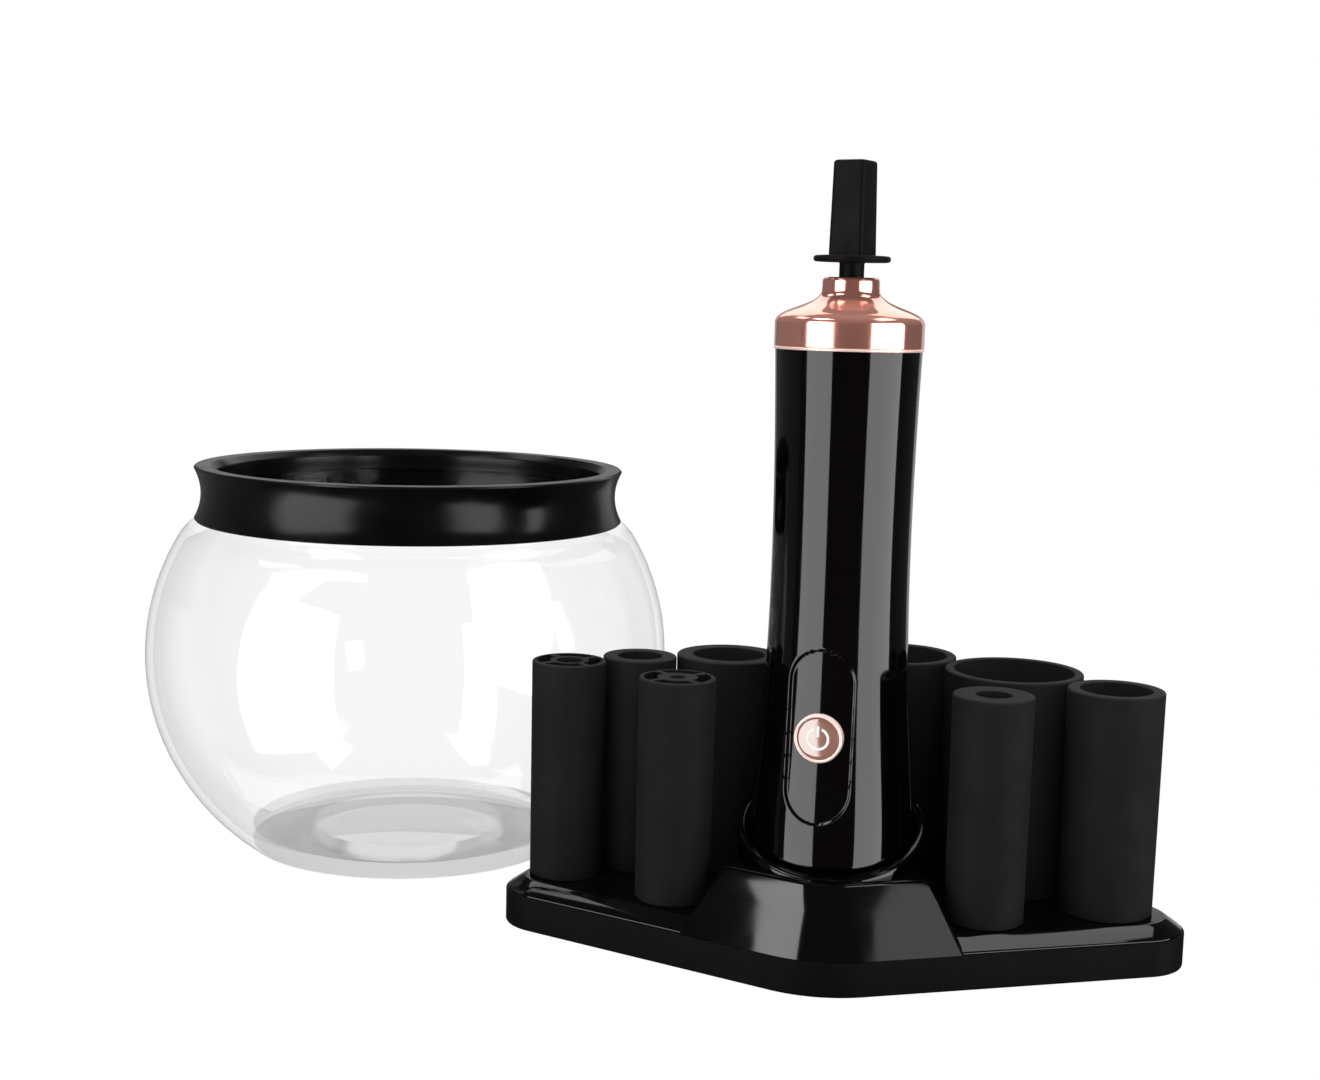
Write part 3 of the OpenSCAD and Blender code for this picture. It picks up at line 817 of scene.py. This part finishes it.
def top_cap():
    """Cap with a hollow shoulder, a neck and a skirt inside the shell, and the thin ring below it."""
    shoulder = [(CAP_R, 164.9), (19.0, 168.5), (9.0, 168.9), (7.5, 172.6)]
    top = box_mm("top_cap")[1].z
    side = [(*curve(shoulder, k / 28), 0) for k in range(1, 29)]
    profile = rounded(
        [(SKIRT_R, 149, 0), (SKIRT_R, 158.7, 0), (CAP_R, 158.7, 0.25), (CAP_R, 164.9, 0.35)]
        + side
        + [(CAP_NECK_R, 174, 0), (CAP_NECK_R, top, 1.1), (4.3, top, 0.4), (4.0, 175.6, 0),
           (5, 175.6, 0), (5, 169.8, 0), (7, 169.8, 0), (7, 165.6, 0), (15.6, 162, 0), (15.6, 149, 0)],
        steps=5)
    cap = make("cap", lathe(profile, 192))
    dress(cap, "handle", MATERIALS["rose_gold"], ["top_cap"], 34)
    low, high = box_mm("trim_ring")
    band = (high.x - low.x) / 2
    profile = rounded([
        (SKIRT_R, low.z, 0), (band, low.z, 0.2), (band, high.z, 0.2), (SKIRT_R, high.z, 0),
    ])
    trim = make("cap-trim", lathe(profile, 192))
    dress(trim, "handle", MATERIALS["pale_rose"], ["trim_ring"])


def spindle():
    """Adapter: round flange, tapered square peg above it and hexagonal shank below."""
    top = box_mm("spindle_adapter")[1].z
    turn = Matrix.Rotation(SPINDLE_TURN, 4, "Z")
    profile = rounded([
        (0, 174.5, 0), (3.2, 174.5, 0), (3.2, FLANGE_LOW, 0.5), (FLANGE_R, FLANGE_LOW, 0.75),
        (FLANGE_R, FLANGE_HIGH, 0.75), (6, FLANGE_HIGH, 0), (0, FLANGE_HIGH, 0),
    ], closed=False, steps=6)
    adapter = make("adapter", lathe(profile, 128))
    foot, tip = 4.8, 4.4
    levels = [(0, FLANGE_HIGH - 0.5), (0, 193), (0, top - 0.9)]
    levels += [(0.07, top - 0.5), (0.3, top - 0.15), (0.75, top)]
    rings = []
    for inset, z in levels:
        half = foot + (tip - foot) * (z - FLANGE_HIGH) / (top - FLANGE_HIGH) - inset
        rings.append([(x, y, z) for x, y in square(half, 1.1, 6)])
    combine(adapter, placed(loft(rings), turn), "UNION")
    corners = [math.radians(60 * k) for k in range(6)]
    shank = [(SHANK_R * math.cos(a), SHANK_R * math.sin(a)) for a in corners]
    combine(adapter, prism(shank, (162, 175)), "UNION")
    dress(adapter, "spindle", MATERIALS["adapter_black"], ["spindle_adapter"], 34)


# ---------------------------------------------------------------- bowl


def bowl_line(inset, start, stop, steps):
    """Side line of the bowl's body between two angles."""
    line = []
    for k in range(steps + 1):
        angle = math.radians(start + (stop - start) * k / steps)
        height = BOWL_DOWN if angle < 0 else BOWL_UP
        radius = (BOWL_R - inset) * math.cos(angle)
        line.append((radius, BOWL_MID_Z + (height - inset) * math.sin(angle), 0))
    return line


def bowl_and_ring():
    """Clear bowl with a hollowed foot and a neck, and the ring with a hollowed side over the neck."""
    centre = middle_mm("bowl")
    top = box_mm("bowl")[1].z
    inner = NECK_R - BOWL_WALL
    profile = rounded(
        [(0, 3.4, 0), (24, 2.2, 6), (32, 0.02, 3), (BOWL_FLOOR_R, 0.02, 0)]
        + bowl_line(0, -52, 30, 60)
        + [(66.6, 99.6, 1.6), (NECK_R, 99.9, 0.8), (NECK_R, top, 0.9)]
        + [(inner, top, 0.9), (inner, 97.2, 2.5)]
        + bowl_line(BOWL_WALL, 28, -46, 56)
        + [(44, 3.4, 6), (30, 4.4, 9), (0, 7.4, 0)],
        closed=False, steps=6)
    body = make("bowl-body", lathe(profile, 224, centre))
    dress(body, "bowl", MATERIALS["clear_bowl"], ["bowl"], 50)
    top = box_mm("splash_ring")[1].z
    middle, reach = (RING_Z + top) / 2, (top - RING_Z) / 2 - 0.6
    side = [(RING_WAIST + 2 * u * u, middle + reach * u, 0) for u in [k / 12 for k in range(-12, 13)]]
    profile = rounded(
        [(NECK_R + 0.3, RING_Z, 0.3), (RING_R, RING_Z, 0.4)]
        + side
        + [(RING_R, top, 0.4), (60.6, top, 0.8), (58.8, top - 2, 0.8)]
        + [(58.5, SHELF_Z, 0.3), (NECK_R + 0.3, SHELF_Z, 0)],
        steps=5)
    ring = make("ring", lathe(profile, 224, centre))
    dress(ring, "ring", MATERIALS["ring_black"], ["splash_ring"], 34)


# ---------------------------------------------------------------- build

stand_tub()
stand_cover()
for index in range(len(BORES)):
    collar(index)
handle_shell()
button()
power_icon()
top_cap()
spindle()
bowl_and_ring()

# Carried-over CAD nodes take the material of their slot
SLOTS = {row["node"]: row["material_slot"] for row in frame["record"]["subparts"]}
for node, obj in frame["nodes"].items():
    for place in obj.material_slots:
        place.material = MATERIALS[SLOTS[node]]

# The dock's springs shorten as their contacts go down; here each spring only gets a mesh of its own,
# and the middle of its foot is worked out but not used
for side in ("left", "right"):
    low, high = box_mm("contact_spring_" + side)
    foot = (low + high) / 2 * MM
    foot.z = low.z * MM
    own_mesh(frame["nodes"]["contact_spring_" + side])

# ---------------------------------------------------------------- studio


def glow(name, strength, tone=(1, 1, 1)):
    """Even light for reflections; it isn't sampled as a lamp."""
    material = bpy.data.materials.new(name)
    material.use_nodes = True
    nodes, links = material.node_tree.nodes, material.node_tree.links
    nodes.clear()
    light = nodes.new("ShaderNodeEmission")
    light.inputs["Color"].default_value = (*tone, 1)
    light.inputs["Strength"].default_value = strength
    links.new(light.outputs["Emission"], nodes.new("ShaderNodeOutputMaterial").inputs["Surface"])
    material.cycles.emission_sampling = "NONE"
    return material


def only_reflected(obj):
    """Hides a piece of the studio from everything but reflections."""
    obj.visible_camera = False
    obj.visible_diffuse = False
    obj.visible_transmission = False
    obj.visible_shadow = False
    obj.visible_volume_scatter = False


def panel(name, corners, material):
    """A flat face of the studio."""
    mesh = bpy.data.meshes.new(name)
    mesh.from_pydata(corners, [], [tuple(range(len(corners)))])
    mesh.materials.append(material)
    return new_object(name, mesh)


def card(name, centre, size, strength, target=(0, 0, 90)):
    """A panel that only reflections see, turned to face a point of the object in millimetres."""
    x, y = size[0] / 2, size[1] / 2
    obj = panel(name, [(-x, -y, 0), (x, -y, 0), (x, y, 0), (-x, y, 0)], glow(name, strength))
    obj.location = Vector(centre)
    aim = Vector(target) * MM - obj.location
    obj.rotation_mode = "QUATERNION"
    obj.rotation_quaternion = aim.to_track_quat("Z", "Y")
    only_reflected(obj)


def ceiling(name, corners, strength):
    """A level panel overhead that only reflections see."""
    only_reflected(panel(name, [(x, y, CEILING_Z) for x, y in corners], glow(name, strength)))


def lamp(name, place, size, watts, target=(0, 0, 0.06)):
    """A soft lamp that reflections don't show, aimed at a point in metres."""
    data = bpy.data.lights.new(name, "AREA")
    data.shape = "RECTANGLE"
    data.size, data.size_y = size
    data.energy = watts
    obj = new_object(name, data)
    obj.location = place
    obj.rotation_mode = "QUATERNION"
    obj.rotation_quaternion = (Vector(target) - Vector(place)).to_track_quat("-Z", "Y")
    obj.visible_glossy = False
    obj.visible_camera = False


def around(azimuth, height, distance=CARD_REACH):
    """Place at an azimuth from the front of the dock, to the right when positive."""
    angle = math.radians(azimuth)
    return (distance * math.sin(angle), -distance * math.cos(angle), height)


def surroundings():
    """White sky for diffuse light, a pale floor, and a dim dome for reflections, warmer in front."""
    world = bpy.data.worlds.new("studio")
    bpy.context.scene.world = world
    world.use_nodes = True
    sky = world.node_tree.nodes["Background"]
    sky.inputs["Color"].default_value = (1, 1, 1, 1)
    sky.inputs["Strength"].default_value = 1.0
    world.cycles_visibility.glossy = False

    paper = shader("floor_paper", (0.93, 0.93, 0.93), 0.9)
    tint(paper, grain(paper, 4, 2), (0.925, 0.925, 0.925), (0.935, 0.935, 0.935))
    x = FLOOR_HALF
    floor = panel("floor", [(-x, -x, 0), (x, -x, 0), (x, x, 0), (-x, x, 0)], paper)
    floor.visible_glossy = False
    floor.visible_diffuse = False
    floor.visible_camera = False

    mesh = bpy.data.meshes.new("surround")
    bm = bmesh.new()
    bmesh.ops.create_icosphere(bm, subdivisions=4, radius=DOME_R)
    for face in bm.faces:
        face.material_index = int(face.calc_center_median().y < 0.5)
    bm.to_mesh(mesh)
    bm.free()
    mesh.materials.append(glow("surround_back", 0.08))
    mesh.materials.append(glow("surround_front", 0.08, (1, 0.75, 0.68)))
    only_reflected(new_object("surround", mesh))


def studio():
    """Upright cards round the object and level panels over it, seen only in reflections."""
    surroundings()
    card("card_left", around(-42.75, 0.0), (1.01, 1.6), 5.2)
    card("card_right", around(65.6, 0.0), (1.42, 1.6), 5.2)
    card("card_far_left", around(-110, 0.0), (1.75, 1.6), 0.15)
    card("card_rim_left", around(-160, 0.1), (0.5, 0.8), 0.4)
    card("card_rim_right", around(160, 0.1), (0.5, 0.8), 0.6)
    card("card_back", around(183, 1.1, 1.2), (1.5, 1.1), 1.45, target=(0, 0, 165))
    ceiling("over_strip", [
        (-0.785, -0.52), (-0.34, -0.52), (-0.36, -0.45),
        (-0.6, -0.1), (-0.74, -0.1), (-0.785, -0.26),
    ], 7.0)
    ceiling("over_face", [(0.63, -0.36), (0.85, -0.36), (0.85, -0.1), (0.56, -0.1)], 2.0)
    ceiling("over_edge", [(0.4, -0.08), (0.85, -0.08), (0.85, 0.38), (0.4, 0.38)], 3.0)
    ceiling("over_corner", [(-1.1, 0.1), (-0.75, 0.1), (-0.75, 0.6), (-1.1, 0.6)], 3.0)
    lamp("overhead", (0, 0, 2), (1, 1), 80)


def camera():
    """Camera at its place in front of the dock, turned by yaw, pitch and roll."""
    data = bpy.data.cameras.new("camera")
    data.sensor_width = 36
    data.lens = 50.45
    data.clip_start, data.clip_end = 0.01, 50
    place = Vector((24.35, -480.28, 169.65)) * MM
    yaw, pitch, roll = math.radians(-8.55), math.radians(7.40), math.radians(1.44)
    ahead = math.cos(pitch)
    forward = Vector((math.sin(yaw) * ahead, math.cos(yaw) * ahead, -math.sin(pitch)))
    level = Vector((math.cos(yaw), -math.sin(yaw), 0))
    upright = level.cross(forward)
    right = level * math.cos(roll) + upright * math.sin(roll)
    up = -level * math.sin(roll) + upright * math.cos(roll)
    rows = [(right[k], up[k], -forward[k]) for k in range(3)]
    obj = new_object("camera", data)
    obj.matrix_world = Matrix.Translation(place) @ Matrix(rows).to_4x4()
    bpy.context.scene.camera = obj


studio()
camera()
bpy.context.scene.view_settings.view_transform = "Standard"
